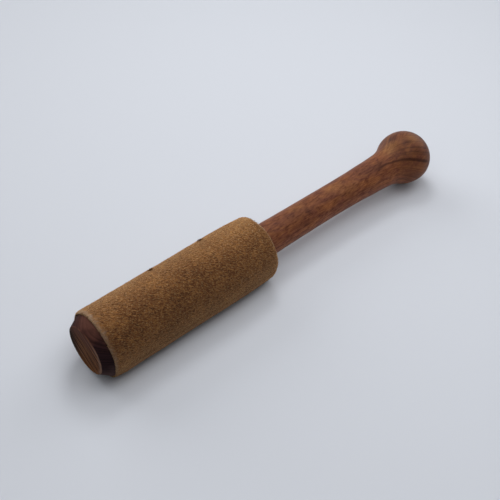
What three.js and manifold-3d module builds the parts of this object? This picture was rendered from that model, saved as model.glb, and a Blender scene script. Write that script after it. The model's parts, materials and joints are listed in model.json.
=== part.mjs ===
import * as THREE from 'three';
import { mergeVertices } from 'three/addons/utils/BufferGeometryUtils.js';
import Module from 'manifold-3d';

// Singing bowl striker: a turned hardwood stick whose thick head is wrapped in suede.
// Sizes are in millimetres. The striker lies along X, its sawn tip towards -X and its ball
// towards +X, and rests on the suede at Z = 0. The origin is the middle of its underside.
// A length called "from the tip" is counted along the stick from the sawn face.

// Turned stick
const overallLength = 234.3;
const tipFaceRadius = 12.9;
const tipEdgeBreak = 0.5;
const chamferLength = 5.5;
const headRadius = 15.9;
const headBellyRadius = 16.2;
const headFarRadius = 15.6;
const headBellyShare = 0.77;
const shoulderRound = 2.2;
const shoulderCove = 2.0;
const handleRootRadius = 9.05;
const waistRadius = 8.65;
const waistFromBall = 62.5;
const neckRadius = 9.9;
const neckSlope = 0.056;
const coveRadius = 23;
const ballRadius = 15.5;

// Suede sheet
const suedeThickness = 1.2;
const wrapSetback = 0.4;
const wrapLength = 99.6;
const wrapOverhang = 0.8;
const lapWidth = 13.5;
const flapEdgeAngle = THREE.MathUtils.degToRad(24);
const skivedThickness = 0.4;
const skiveWidth = 7;
const flapEdgeThickness = 0.9;
const flapBevelWidth = 3;
const cutEdgeRound = 0.8;

// Clearances and the flat that the suede is pressed to where the striker lies on it
const glueFilm = 0.2;
const lapFilm = 0.2;
const restFlatDepth = 0.5;

// Fineness of the faceted solids
const latheSegments = 60;
const turnSteps = 60;
const roundSteps = 3;

// Places that follow from the sizes, all from the tip
const wrapStart = chamferLength + wrapSetback;
const wrapEnd = wrapStart + wrapLength;
const headEnd = wrapEnd - wrapOverhang;
const headBelly = chamferLength + headBellyShare * (headEnd - chamferLength);
const ballCentre = overallLength - ballRadius;
const waist = ballCentre - waistFromBall;

// Radius of the covered head at a distance from the tip: a straight land that swells gently
// to a belly and eases in again towards the shoulder.
function coreRadius(fromTip) {
  if (fromTip < headBelly) {
    const rise = Math.max(fromTip - chamferLength, 0) / (headBelly - chamferLength);
    return headRadius + (headBellyRadius - headRadius) * rise ** 2;
  }
  const fall = (fromTip - headBelly) / (headEnd - headBelly);
  return headBellyRadius - (headBellyRadius - headFarRadius) * Math.min(fall, 1) ** 2;
}

// The cove is an arc that touches the end of the handle's curve and the ball. Its centre lies
// off the neck by its own radius, square to the neck's slope.
function coveTangents() {
  const lean = Math.atan(neckSlope);
  const offAxis = neckRadius + coveRadius * Math.cos(lean);
  const reach = ballRadius + coveRadius;
  const centre = ballCentre - Math.sqrt(reach ** 2 - offAxis ** 2);
  const ballAngle = Math.atan2(offAxis, centre - ballCentre);
  return { lean, offAxis, centre, neck: centre + coveRadius * Math.sin(lean), ballAngle };
}

// Half outline of the stick from the sawn face to the end of the ball, as radius and distance
// from the tip, for a revolve about the stick's axis.
function stickOutline() {
  const outline = [new THREE.Vector2(0, 0)];
  const add = (radius, fromTip) => outline.push(new THREE.Vector2(radius, fromTip));

  add(tipFaceRadius - tipEdgeBreak, 0);
  add(tipFaceRadius, tipEdgeBreak);
  add(coreRadius(chamferLength), chamferLength);

  const landEnd = headEnd - shoulderRound;
  const landSteps = 8;
  for (let i = 1; i <= landSteps; i++) {
    const fromTip = chamferLength + (landEnd - chamferLength) * i / landSteps;
    add(coreRadius(fromTip), fromTip);
  }
  const landEndRadius = coreRadius(landEnd);
  for (let i = 1; i <= roundSteps; i++) {
    const turn = Math.PI / 2 * i / roundSteps;
    add(landEndRadius - shoulderRound * (1 - Math.cos(turn)), landEnd + shoulderRound * Math.sin(turn));
  }

  const rootStart = headEnd + shoulderCove;
  for (let i = 0; i <= roundSteps; i++) {
    const turn = Math.PI / 2 * i / roundSteps;
    add(
      handleRootRadius + shoulderCove * (1 - Math.sin(turn)),
      rootStart - shoulderCove * Math.cos(turn),
    );
  }

  const cove = coveTangents();
  const toWaist = (waist - rootStart) / 3;
  const toNeck = (cove.neck - waist) / 3;
  const handle = new THREE.CurvePath();
  handle.add(new THREE.CubicBezierCurve(
    new THREE.Vector2(handleRootRadius, rootStart),
    new THREE.Vector2(handleRootRadius - (handleRootRadius - waistRadius) * 2 / 3, rootStart + toWaist),
    new THREE.Vector2(waistRadius, waist - toWaist),
    new THREE.Vector2(waistRadius, waist),
  ));
  handle.add(new THREE.CubicBezierCurve(
    new THREE.Vector2(waistRadius, waist),
    new THREE.Vector2(waistRadius, waist + toNeck),
    new THREE.Vector2(neckRadius - toNeck * neckSlope, cove.neck - toNeck),
    new THREE.Vector2(neckRadius, cove.neck),
  ));
  outline.push(...handle.getPoints(7).slice(1));

  const coveSteps = 6;
  const coveStart = -Math.PI / 2 + cove.lean;
  const coveEnd = cove.ballAngle - Math.PI;
  for (let i = 1; i <= coveSteps; i++) {
    const turn = coveStart + (coveEnd - coveStart) * i / coveSteps;
    add(cove.offAxis + coveRadius * Math.sin(turn), cove.centre + coveRadius * Math.cos(turn));
  }

  const ballSteps = 16;
  for (let i = 1; i < ballSteps; i++) {
    const turn = cove.ballAngle * (1 - i / ballSteps);
    add(ballRadius * Math.sin(turn), ballCentre + ballRadius * Math.cos(turn));
  }
  add(0, overallLength);
  return outline;
}

// The suede is followed by its cross-section from its inner, skived end, once round the core
// and on over its own start, to the flap's free edge. An angle is counted from straight down,
// towards -Y.
const turnStep = 2 * Math.PI / turnSteps;
const midSuedeRadius = headRadius + glueFilm + suedeThickness;
const stepsAcross = (width) => Math.max(Math.round(width / (midSuedeRadius * turnStep)), 1);
const lapSteps = stepsAcross(lapWidth);
const skiveSteps = stepsAcross(skiveWidth);
const flapBevelSteps = stepsAcross(flapBevelWidth);
const sheetSteps = turnSteps + lapSteps;
const climbSteps = 2;

// Thickness of the sheet at a step along it: skived thin at its inner end, where the lap
// covers it, and bevelled towards the flap's free edge.
function sheetThickness(step) {
  const skive = Math.min(step / skiveSteps, 1);
  const bevel = Math.min((sheetSteps - step) / flapBevelSteps, 1);
  const inner = skivedThickness + (suedeThickness - skivedThickness) * skive;
  const flap = flapEdgeThickness + (suedeThickness - flapEdgeThickness) * bevel;
  return Math.min(inner, flap);
}

// How far the sheet's inner face stands off the glued core at a step along it: nothing in its
// first turn, a short climb, and then the thickness of its own start.
function layerRise(step) {
  if (step >= turnSteps) {
    return sheetThickness(step - turnSteps) + lapFilm;
  }
  const climb = Math.max(1 - (turnSteps - step) / climbSteps, 0);
  return climb * (skivedThickness + lapFilm);
}

// Distances from the tip of the rings that the wrap is lofted through. They are close at the
// two cut edges, whose outer corner is rounded over.
function wrapStations() {
  const stations = [];
  for (let i = 0; i <= roundSteps; i++) {
    stations.push(wrapStart + cutEdgeRound * (1 - Math.cos(Math.PI / 2 * i / roundSteps)));
  }
  const innerLength = wrapLength - 2 * cutEdgeRound;
  const innerSteps = 9;
  for (let i = 1; i < innerSteps; i++) {
    stations.push(wrapStart + cutEdgeRound + innerLength * i / innerSteps);
  }
  for (let i = 0; i <= roundSteps; i++) {
    stations.push(wrapEnd - cutEdgeRound * (1 - Math.sin(Math.PI / 2 * i / roundSteps)));
  }
  return stations;
}

// Share of the thickness that the rounded corner takes away at a distance from the tip.
function roundedShare(fromTip) {
  const fromEdge = Math.min(fromTip - wrapStart, wrapEnd - fromTip);
  const into = Math.max(cutEdgeRound - fromEdge, 0);
  const lost = cutEdgeRound - Math.sqrt(Math.max(cutEdgeRound ** 2 - into ** 2, 0));
  return lost / suedeThickness;
}

// Loft of the sheet's section through its stations, closed by a cap at each cut edge.
function wrapGeometry() {
  const stations = wrapStations();
  const innerEndAngle = flapEdgeAngle + lapSteps * turnStep;
  const positions = [];
  for (const fromTip of stations) {
    const kept = 1 - roundedShare(fromTip);
    for (let step = 0; step <= sheetSteps; step++) {
      const angle = innerEndAngle - step * turnStep;
      const inner = coreRadius(fromTip) + glueFilm + layerRise(step);
      const outer = inner + sheetThickness(step) * kept;
      for (const radius of [inner, outer]) {
        positions.push(fromTip, -radius * Math.sin(angle), -radius * Math.cos(angle));
      }
    }
  }

  const ringSize = 2 * (sheetSteps + 1);
  const vertex = (station, step, side) => station * ringSize + 2 * step + side;
  const indices = [];
  const quad = (a, b, c, d) => indices.push(a, b, c, a, c, d);
  const last = stations.length - 1;
  for (let step = 0; step < sheetSteps; step++) {
    for (let station = 0; station < last; station++) {
      quad(
        vertex(station, step, 1), vertex(station, step + 1, 1),
        vertex(station + 1, step + 1, 1), vertex(station + 1, step, 1),
      );
      quad(
        vertex(station, step + 1, 0), vertex(station, step, 0),
        vertex(station + 1, step, 0), vertex(station + 1, step + 1, 0),
      );
    }
    quad(vertex(0, step, 0), vertex(0, step + 1, 0), vertex(0, step + 1, 1), vertex(0, step, 1));
    quad(
      vertex(last, step, 1), vertex(last, step + 1, 1),
      vertex(last, step + 1, 0), vertex(last, step, 0),
    );
  }
  for (let station = 0; station < last; station++) {
    quad(
      vertex(station, 0, 0), vertex(station, 0, 1),
      vertex(station + 1, 0, 1), vertex(station + 1, 0, 0),
    );
    quad(
      vertex(station, sheetSteps, 1), vertex(station, sheetSteps, 0),
      vertex(station + 1, sheetSteps, 0), vertex(station + 1, sheetSteps, 1),
    );
  }
  const geometry = new THREE.BufferGeometry();
  geometry.setAttribute('position', new THREE.Float32BufferAttribute(positions, 3));
  geometry.setIndex(indices);
  return geometry;
}

const wasm = await Module();
wasm.setup();

function toSolid(geometry) {
  const bare = geometry.clone();
  bare.deleteAttribute('normal');
  bare.deleteAttribute('uv');
  const merged = mergeVertices(bare, 1e-4);
  return new wasm.Manifold(new wasm.Mesh({
    numProp: 3,
    vertProperties: new Float32Array(merged.attributes.position.array),
    triVerts: new Uint32Array(merged.index.array),
  }));
}

function toGeometry(solid) {
  const mesh = solid.getMesh();
  const geometry = new THREE.BufferGeometry();
  geometry.setAttribute('position', new THREE.BufferAttribute(mesh.vertProperties, mesh.numProp));
  geometry.setIndex(new THREE.BufferAttribute(mesh.triVerts, 1));
  geometry.computeVertexNormals();
  return geometry;
}

// Height of the stick's axis above the surface that the striker lies on.
const axisHeight = headBellyRadius + glueFilm + suedeThickness - restFlatDepth;

// Everything of the wrap below that surface is pressed flat, here cut away.
function flattenUnderside(geometry) {
  const depth = 4 * suedeThickness;
  const width = 4 * headBellyRadius;
  const below = new THREE.BoxGeometry(2 * wrapLength, width, depth);
  below.translate((wrapStart + wrapEnd) / 2, 0, -axisHeight - depth / 2);
  return toGeometry(toSolid(geometry).subtract(toSolid(below)));
}

const rosewood = new THREE.MeshStandardMaterial({ color: 0x7a4526, roughness: 0.42, metalness: 0 });
const suede = new THREE.MeshStandardMaterial({ color: 0x94693c, roughness: 0.95, metalness: 0 });

const stick = new THREE.Mesh(new THREE.LatheGeometry(stickOutline(), latheSegments), rosewood);
stick.name = 'turned_stick';
stick.rotation.z = -Math.PI / 2;

const wrap = new THREE.Mesh(flattenUnderside(wrapGeometry()), suede);
wrap.name = 'suede_wrap';

const striker = new THREE.Group();
striker.add(stick, wrap);
striker.position.set(-overallLength / 2, 0, axisHeight);

export default striker;
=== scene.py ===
import json
import logging
import math
import random
from dataclasses import dataclass, field
from enum import Enum
from functools import partial

import bmesh
import bpy
from mathutils import Matrix, Vector, geometry, noise

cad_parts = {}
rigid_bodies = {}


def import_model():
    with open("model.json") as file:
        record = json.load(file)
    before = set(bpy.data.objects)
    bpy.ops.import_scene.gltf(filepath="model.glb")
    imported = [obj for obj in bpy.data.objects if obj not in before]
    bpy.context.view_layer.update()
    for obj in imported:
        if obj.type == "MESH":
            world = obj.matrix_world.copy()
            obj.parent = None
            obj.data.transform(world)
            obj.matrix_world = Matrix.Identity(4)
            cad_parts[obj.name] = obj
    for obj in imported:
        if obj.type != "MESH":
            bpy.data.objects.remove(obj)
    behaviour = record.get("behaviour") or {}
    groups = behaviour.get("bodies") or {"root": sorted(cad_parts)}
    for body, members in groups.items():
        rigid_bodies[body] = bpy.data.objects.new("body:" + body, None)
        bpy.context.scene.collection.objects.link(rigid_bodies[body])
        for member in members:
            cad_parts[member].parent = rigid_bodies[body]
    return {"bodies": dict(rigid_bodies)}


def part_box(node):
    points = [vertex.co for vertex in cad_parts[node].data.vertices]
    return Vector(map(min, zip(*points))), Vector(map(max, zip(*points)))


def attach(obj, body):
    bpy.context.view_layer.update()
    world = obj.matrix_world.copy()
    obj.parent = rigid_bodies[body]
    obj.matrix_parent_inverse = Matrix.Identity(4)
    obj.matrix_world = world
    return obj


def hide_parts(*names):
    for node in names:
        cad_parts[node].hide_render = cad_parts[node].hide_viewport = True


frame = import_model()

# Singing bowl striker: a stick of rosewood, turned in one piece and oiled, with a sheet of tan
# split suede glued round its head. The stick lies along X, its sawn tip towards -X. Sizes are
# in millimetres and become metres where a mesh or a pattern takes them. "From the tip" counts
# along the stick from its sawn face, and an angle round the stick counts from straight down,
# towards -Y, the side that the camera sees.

log = logging.getLogger("striker")
MM = 0.001
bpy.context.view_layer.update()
Colour = tuple[float, float, float, float]
Node = bpy.types.Node
# The growth layers lean down towards the camera's side by this much for each step across.
LAYER_TILT = -0.28
# The saw's lines follow one another along this direction of the face, in shares of -Y and Z.
SAW_WAY = (0.6, 0.8)

# Settings that many nodes share: how a range rises, how a Mix node mixes, what a Math node
# does, and over how many dimensions a pattern runs.
SMOOTH = {"interpolation_type": "SMOOTHSTEP"}
COVER = {"data_type": "RGBA"}
TINT = {"data_type": "RGBA", "blend_type": "MULTIPLY"}
WEIGH = {"data_type": "FLOAT"}
TIMES = {"operation": "MULTIPLY"}
TIMES_PLUS = {"operation": "MULTIPLY_ADD"}
LARGER = {"operation": "MAXIMUM"}
UNSIGNED = {"operation": "ABSOLUTE"}
LENGTH = {"operation": "LENGTH"}
DRAWN_OUT = {"vector_type": "TEXTURE"}
ON_LINE = {"noise_dimensions": "1D"}
ON_SHEET = {"noise_dimensions": "2D"}
# Sockets of a Mix node: its factor, then the two colours, or the two numbers, that it mixes.
SHARE = 0
UNDER, OVER = 6, 7
FIRST, SECOND = 2, 3


class Body(Enum):
    """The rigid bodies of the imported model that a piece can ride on."""

    STRIKER = next(iter(frame["bodies"]))


class Slot(Enum):
    """The record's material slots."""

    WOOD = "rosewood"
    SUEDE = "suede"


class Figure(Enum):
    """What a patch of the wood's figure is made of."""

    OCHRE = "sapwood streak"
    DARK = "dark heart streak"


def srgb(code: str) -> Colour:
    """Turns an sRGB hex colour into the linear values that a socket takes.

    Args:
        code: The colour as "#rrggbb".

    Returns:
        Linear red, green, blue and an alpha of 1.
    """
    parts = [int(code[i:i + 2], 16) / 255 for i in (1, 3, 5)]
    linear = [c / 12.92 if c <= 0.04045 else ((c + 0.055) / 1.055) ** 2.4 for c in parts]
    return (*linear, 1.0)


def grey(value: float) -> Colour:
    """A linear grey, for the stops of a mask."""
    return (value, value, value, 1.0)


def per_metre(size_mm: float) -> float:
    """Gives the texture scale at which one feature of a pattern is size_mm across."""
    return 1 / (size_mm * MM)


def ease(low: float, high: float, value: float) -> float:
    """Rises smoothly from 0, where value is low or less, to 1, where it is high or more."""
    share = min(max((value - low) / (high - low), 0.0), 1.0)
    return share * share * (3 - 2 * share)


# Where a ripple runs over two places only, its third is a number that sets it apart from others.
def ripple(x: float, y: float, z: float, size_mm: float) -> float:
    """Soft unevenness from about -1 to 1, its rises size_mm apart, at a place in millimetres."""
    return noise.noise(Vector((x / size_mm, y / size_mm, z / size_mm))) * 1.6


def arc(
    centre: tuple[float, float], radius: float, start: float, end: float, rings: int,
) -> list[tuple[float, float]]:
    """Points of a circle, for a turned outline.

    Args:
        centre: The circle's middle, as distance from the tip and distance from the axis.
        radius: Its radius.
        start: Where the points begin, in radians from along the stick towards outwards.
        end: Where they end.
        rings: How many steps lie between the two.

    Returns:
        Pairs of distance from the tip and distance from the axis, both ends among them.
    """
    turns = [start + (end - start) * i / rings for i in range(rings + 1)]
    return [
        (centre[0] + radius * math.cos(turn), centre[1] + radius * math.sin(turn)) for turn in turns
    ]


def add_node(
    tree: bpy.types.NodeTree,
    kind: str,
    settings: dict | None = None,
    values: dict | None = None,
    links: dict | None = None,
    stops: list[tuple[float, Colour]] | None = None,
) -> Node:
    """Adds one node with its settings and its links.

    Args:
        tree: The node tree that it goes into.
        kind: Blender's name for the node, without the word ShaderNode that it begins with.
        settings: Properties of the node itself.
        values: Sockets that hold a fixed value.
        links: Sockets that are fed by one output or, where a node is given, by the first of
            that node's outputs in use.
        stops: Places and colours of a colour ramp.

    Returns:
        The new node.
    """
    node = tree.nodes.new("ShaderNode" + kind)
    for name, value in (settings or {}).items():
        setattr(node, name, value)
    for socket, value in (values or {}).items():
        node.inputs[socket].default_value = value
    for socket, source in (links or {}).items():
        if isinstance(source, Node):
            source = next(output for output in source.outputs if output.enabled)
        tree.links.new(source, node.inputs[socket])
    if stops:
        ramp = node.color_ramp
        while len(ramp.elements) < len(stops):
            ramp.elements.new(0.5)
        for element, (place, colour) in zip(ramp.elements, stops):
            element.position = place
            element.color = colour
    return node


def blank_material(name: str) -> tuple[bpy.types.Material, partial]:
    """Makes an empty node material.

    Args:
        name: What the real material is.

    Returns:
        The material, and what adds a node to its tree.
    """
    material = bpy.data.materials.new(name)
    material.use_nodes = True
    material.node_tree.nodes.clear()
    return material, partial(add_node, material.node_tree)


def seen_rays(add: partial) -> Node:
    """Tells the rays that show a backdrop to the camera, also in gloss and through glass.

    Args:
        add: Adds a node to the backdrop's tree.

    Returns:
        A node that gives 1 for such a ray and 0 for one that carries light.
    """
    rays = add("LightPath").outputs
    gloss = add("Math", LARGER, links={0: rays["Is Glossy Ray"], 1: rays["Is Transmission Ray"]})
    return add("Math", LARGER, links={0: rays["Is Camera Ray"], 1: gloss})


def object_from(
    bm: bmesh.types.BMesh, name: str, materials: list[bpy.types.Material],
) -> bpy.types.Object:
    """Turns a finished bmesh into an object at the origin, shaded smooth.

    Args:
        bm: The shape, in metres, in its place. It is freed.
        name: The piece's name.
        materials: Its material slots, in order.

    Returns:
        The object, linked to the scene.
    """
    mesh = bpy.data.meshes.new(name)
    bm.to_mesh(mesh)
    bm.free()
    for material in materials:
        mesh.materials.append(material)
    mesh.shade_smooth()
    piece = bpy.data.objects.new(name, mesh)
    bpy.context.scene.collection.objects.link(piece)
    return piece


@dataclass
class Bench:
    """What a wood's patterns are worked out on: its stick, its tree and its object coordinates."""

    stick: "TurnedStick"
    name: str
    material: bpy.types.Material = field(init=False)
    add: partial = field(init=False)
    place: bpy.types.NodeSocket = field(init=False)
    axes: bpy.types.bpy_prop_collection = field(init=False)

    def __post_init__(self) -> None:
        """Makes the empty material, with object coordinates whole and taken apart."""
        self.material, self.add = blank_material(self.name)
        self.place = self.add("TexCoord").outputs["Object"]
        self.axes = self.add("SeparateXYZ", links={"Vector": self.place}).outputs


@dataclass(frozen=True)
class Patch:
    """A soft cloud or streak of the wood's figure, at one place on the stick."""

    kind: Figure
    from_tip: float
    degrees: float
    along: float
    across: float
    strength: float = 0.8


@dataclass(frozen=True)
class OiledRosewood:
    """Indian rosewood, turned, sanded and oiled.

    Red-brown with ochre and purple-brown clouds, in nearly level growth layers that run the
    length of the stick, fine darker growth lines, short open pores, and a satin shine under a
    thin oil film.
    """

    dark: str = "#532e1f"
    purple: str = "#673c2c"
    base: str = "#774930"
    warm: str = "#845232"
    ochre: str = "#93643c"
    vein: str = "#3c1d11"
    fleck_dark: str = "#c9bab4"
    fleck_mid: str = "#f4eeec"
    end_tint: str = "#a39590"
    ior: float = 1.5
    roughness: float = 0.46
    shine: float = 0.09
    wander_mm: float = 13.0
    layer_mm: float = 4.0
    cloud_mm: float = 3.6
    streak_mm: float = 4.0
    growth_line_mm: float = 1.25
    wobble_mm: float = 4.0
    fleck_mm: float = 1.1
    # Real pores are 0.15 mm wide. These are drawn twice as wide so that they show at all.
    pore_mm: float = 0.3
    # The blank was cut a little across the grain, so the figure rises towards the ball. The
    # clouds and the flecks are this many times as long as they are wide.
    grain_turn: tuple[float, float, float] = (0.0, math.radians(-4.5), math.radians(3))
    cloud_stretch: float = 2.8
    fleck_stretch: float = 3.5
    pore_stretch: float = 12.5
    # Where along the stick the neck's figure passes into the ball's.
    ball_figure: tuple[float, float] = (200.0, 213.0)
    # The vein's stretch of the stick, and its course: shares of the stretch and of half a turn.
    vein_span: tuple[float, float] = (180.0, 230.0)
    vein_course: tuple[tuple[float, float], ...] = (
        (0.0, 0.870), (0.20, 0.845), (0.38, 0.815), (0.52, 0.770),
        (0.66, 0.690), (0.80, 0.610), (0.92, 0.550), (1.0, 0.50),
    )
    patches: tuple[Patch, ...] = (
        Patch(Figure.OCHRE, 221, 167, 4, 3, 0.7),
        Patch(Figure.OCHRE, 207, 186, 5, 3.5, 0.8),
        Patch(Figure.OCHRE, 161, 178, 6, 3, 0.5),
        Patch(Figure.OCHRE, 168, 142, 6, 2.5, 0.4),
        Patch(Figure.OCHRE, 134, 188, 5, 2, 0.4),
        Patch(Figure.DARK, 215.5, 165, 3, 1.8, 0.85),
        Patch(Figure.DARK, 213, 199, 3, 2, 0.6),
        Patch(Figure.DARK, 218, 138, 3, 2.2, 0.6),
        Patch(Figure.DARK, 193, 157, 5, 2.4, 0.75),
        Patch(Figure.DARK, 186, 170, 4, 1.8, 0.5),
        Patch(Figure.DARK, 138, 153, 2.5, 1.8, 0.85),
        Patch(Figure.DARK, 132, 145, 9, 5, 0.4),
        Patch(Figure.DARK, 128, 168, 3.5, 2, 0.5),
        Patch(Figure.DARK, 134, 119, 2.5, 1.8, 0.7),
        Patch(Figure.DARK, 176, 102, 14, 0.9, 0.4),
        Patch(Figure.DARK, 164, 133, 8, 0.9, 0.35),
    )

    def material(self, stick: "TurnedStick") -> bpy.types.Material:
        """Builds the wood's nodes.

        Args:
            stick: The stick, which places the marks that lie at one spot.

        Returns:
            The material.
        """
        on = Bench(stick, "oiled_rosewood")
        low, high = self.ball_figure
        on_ball = on.add(
            "MapRange", SMOOTH, {"From Min": on.stick.x_at(low), "From Max": on.stick.x_at(high)},
            {"Value": on.axes["X"]},
        )
        off_vein = self.off_vein(on)
        colour = self.figure(on)
        # On the ball the surface cuts across the grain, so it shows fewer flecks and more layers.
        for share, tone in (self.flecks(on, on_ball), self.growth_lines(on, off_vein, on_ball)):
            colour = on.add("Mix", TINT, links={SHARE: share, UNDER: colour, OVER: tone})

        # The underside is painted paler, as light thrown up from the floor would make it, the vein is
        # dark, and the ball, whose far end shows end grain, is a little darker than the handle.
        end_grain = on.add("Attribute", {"attribute_name": on.stick.END_GRAIN}).outputs["Fac"]
        for settings, share, tint in (
            (TINT, self.painted_underside_light(on, on_ball), grey(1.5)),
            (COVER, self.vein_mask(on, off_vein), srgb(self.vein)),
            (TINT, end_grain, srgb(self.end_tint)),
            (TINT, on_ball, grey(0.88)),
        ):
            colour = on.add("Mix", settings, {OVER: tint}, {SHARE: share, UNDER: colour})

        # Open pores: short dark dashes along the grain.
        drawn_out = {"Scale": (1 / self.pore_stretch, 1, 1)}
        along = on.add("Mapping", values=drawn_out, links={"Vector": on.place})
        pores = on.add(
            "TexNoise", values={"Scale": per_metre(self.pore_mm * 2), "Detail": 1.0},
            links={"Vector": along},
        )
        pore_mask = on.add(
            "ValToRGB", links={"Fac": pores}, stops=[(0.28, grey(0.4)), (0.42, grey(1.0))],
        )
        colour = on.add("Mix", TINT, {SHARE: 0.5}, {UNDER: colour, OVER: pore_mask})
        relief = on.add(
            "Bump", values={"Strength": 0.3, "Distance": 0.1 * MM}, links={"Height": pore_mask},
        )
        shader = on.add(
            "BsdfPrincipled",
            values={"IOR": self.ior, "Roughness": self.roughness, "Specular IOR Level": self.shine},
            links={"Base Color": colour, "Normal": relief},
        )
        on.add("OutputMaterial", links={"Surface": shader})
        return on.material

    def figure(self, on: Bench) -> Node:
        """Colours the wood by its clouds, its growth layers and its streaks.

        Args:
            on: What the pattern is worked out on.

        Returns:
            The colour.
        """
        drawn_out = on.add(
            "Mapping", DRAWN_OUT,
            {"Rotation": self.grain_turn, "Scale": (self.cloud_stretch, 1, 1)}, {"Vector": on.place},
        )
        # The growth layers are a tilted height that wanders by a few millimetres.
        wander = on.add(
            "TexNoise",
            values={"Scale": per_metre(self.wander_mm), "Detail": 2.0, "Roughness": 0.5},
            links={"Vector": drawn_out},
        )
        drift = on.add("Math", TIMES_PLUS, {1: 3 * MM, 2: -1.5 * MM}, {0: wander})
        leaning = on.add("Math", TIMES_PLUS, {1: LAYER_TILT}, {0: on.axes["Y"], 2: on.axes["Z"]})
        layer = on.add("Math", {"operation": "ADD"}, links={0: leaning, 1: drift})
        bands = on.add(
            "TexNoise", ON_LINE,
            {"Scale": per_metre(self.layer_mm), "Detail": 3.0, "Roughness": 0.55}, {"W": layer},
        )
        clouds = on.add(
            "TexNoise",
            values={
                "Scale": per_metre(self.cloud_mm), "Detail": 8.0, "Roughness": 0.72, "Distortion": 0.8,
            },
            links={"Vector": drawn_out},
        )
        mixed = on.add("Mix", WEIGH, {SHARE: 0.85}, {FIRST: bands, SECOND: clouds})
        colour = on.add(
            "ValToRGB", links={"Fac": mixed},
            stops=[
                (0.27, srgb(self.dark)), (0.41, srgb(self.purple)), (0.50, srgb(self.base)),
                (0.60, srgb(self.warm)), (0.76, srgb(self.ochre)),
            ],
        )
        for kind, tint in ((Figure.OCHRE, self.ochre), (Figure.DARK, self.dark)):
            streaks = self.streaks(kind, on)
            colour = on.add("Mix", COVER, {OVER: srgb(tint)}, {SHARE: streaks, UNDER: colour})
        return colour

    def streaks(self, kind: Figure, on: Bench) -> Node:
        """Masks the patches of one kind, with uneven, drawn-out outlines.

        Args:
            kind: The kind of figure.
            on: What the pattern is worked out on.

        Returns:
            The mask, from 0 to 1.
        """
        uneven = on.add(
            "TexNoise",
            values={"Scale": per_metre(self.streak_mm), "Detail": 5.0, "Roughness": 0.65},
            links={"Vector": on.place},
        )
        total = None
        for patch in self.patches:
            if patch.kind is not kind:
                continue
            turn = math.radians(patch.degrees)
            centre = on.stick.place(patch.from_tip, turn, on.stick.radius_at(patch.from_tip))
            size = (patch.along, patch.across, patch.across)
            near = on.add(
                "Mapping",
                values={
                    "Scale": [per_metre(side) for side in size],
                    "Location": [-at * per_metre(side) for at, side in zip(centre, size)],
                },
                links={"Vector": on.place},
            )
            reach = on.add("VectorMath", LENGTH, links={0: near})
            ragged = on.add("Math", TIMES_PLUS, {1: 1.6}, {0: uneven, 2: reach})
            soft = on.add(
                "MapRange", SMOOTH,
                {"From Min": 2.6, "From Max": 1.0, "To Max": patch.strength}, {"Value": ragged},
            )
            total = soft if total is None else on.add("Math", LARGER, links={0: total, 1: soft})
        return total

    def flecks(self, on: Bench, on_ball: Node) -> tuple[Node, Node]:
        """Draws the flecks of the interlocked grain, drawn out the same way as the clouds.

        Args:
            on: What the pattern is worked out on.
            on_ball: 1 on the ball and 0 on the handle.

        Returns:
            How much of them shows, and their tone.
        """
        grain = on.add(
            "Mapping", DRAWN_OUT,
            {"Rotation": self.grain_turn, "Scale": (self.fleck_stretch, 1, 1)}, {"Vector": on.place},
        )
        flecks = on.add(
            "TexNoise",
            values={"Scale": per_metre(self.fleck_mm), "Detail": 4.0, "Roughness": 0.7},
            links={"Vector": grain},
        )
        tone = on.add(
            "ValToRGB", links={"Fac": flecks},
            stops=[(0.37, srgb(self.fleck_dark)), (0.48, srgb(self.fleck_mid)), (0.64, grey(1.18))],
        )
        return on.add("Math", TIMES_PLUS, {1: -0.7, 2: 1.0}, {0: on_ball}), tone

    def growth_lines(self, on: Bench, off_vein: Node, on_ball: Node) -> tuple[Node, Node]:
        """Draws fine growth lines, each a little darker than the wood between them.

        They run beside the vein, show most below it, and fade out towards the top.

        Args:
            on: What the pattern is worked out on.
            off_vein: Distance from the vein's course.
            on_ball: 1 on the ball and 0 on the handle.

        Returns:
            How much of them shows, and their tone.
        """
        low = on.add(
            "MapRange", SMOOTH,
            {"From Min": -0.5 * MM, "From Max": -5 * MM, "To Min": 0.1, "To Max": 0.6},
            {"Value": off_vein},
        )
        over = on.add("Math", TIMES, {1: 0.6}, {0: on_ball})
        lines = on.add(
            "TexNoise", ON_LINE, {"Scale": per_metre(self.growth_line_mm), "Detail": 1.0},
            {"W": off_vein},
        )
        tone = on.add("ValToRGB", links={"Fac": lines}, stops=[(0.40, grey(0.45)), (0.52, grey(1.0))])
        return on.add("Math", LARGER, links={0: low, 1: over}), tone

    def painted_underside_light(self, on: Bench, on_ball: Node) -> Node:
        """Masks the lower side of the stick, where light is painted on, half as strongly on the ball.

        Args:
            on: What the pattern is worked out on.
            on_ball: 1 on the ball and 0 on the handle.

        Returns:
            The mask, from 0 to 1.
        """
        under = on.add(
            "MapRange", SMOOTH,
            {"From Min": (on.stick.axis_height + 8) * MM, "From Max": on.stick.axis_height * MM},
            {"Value": on.axes["Z"]},
        )
        less = on.add("Math", TIMES_PLUS, {1: -0.5, 2: 1.0}, {0: on_ball})
        return on.add("Math", TIMES, links={0: under, 1: less})

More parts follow.
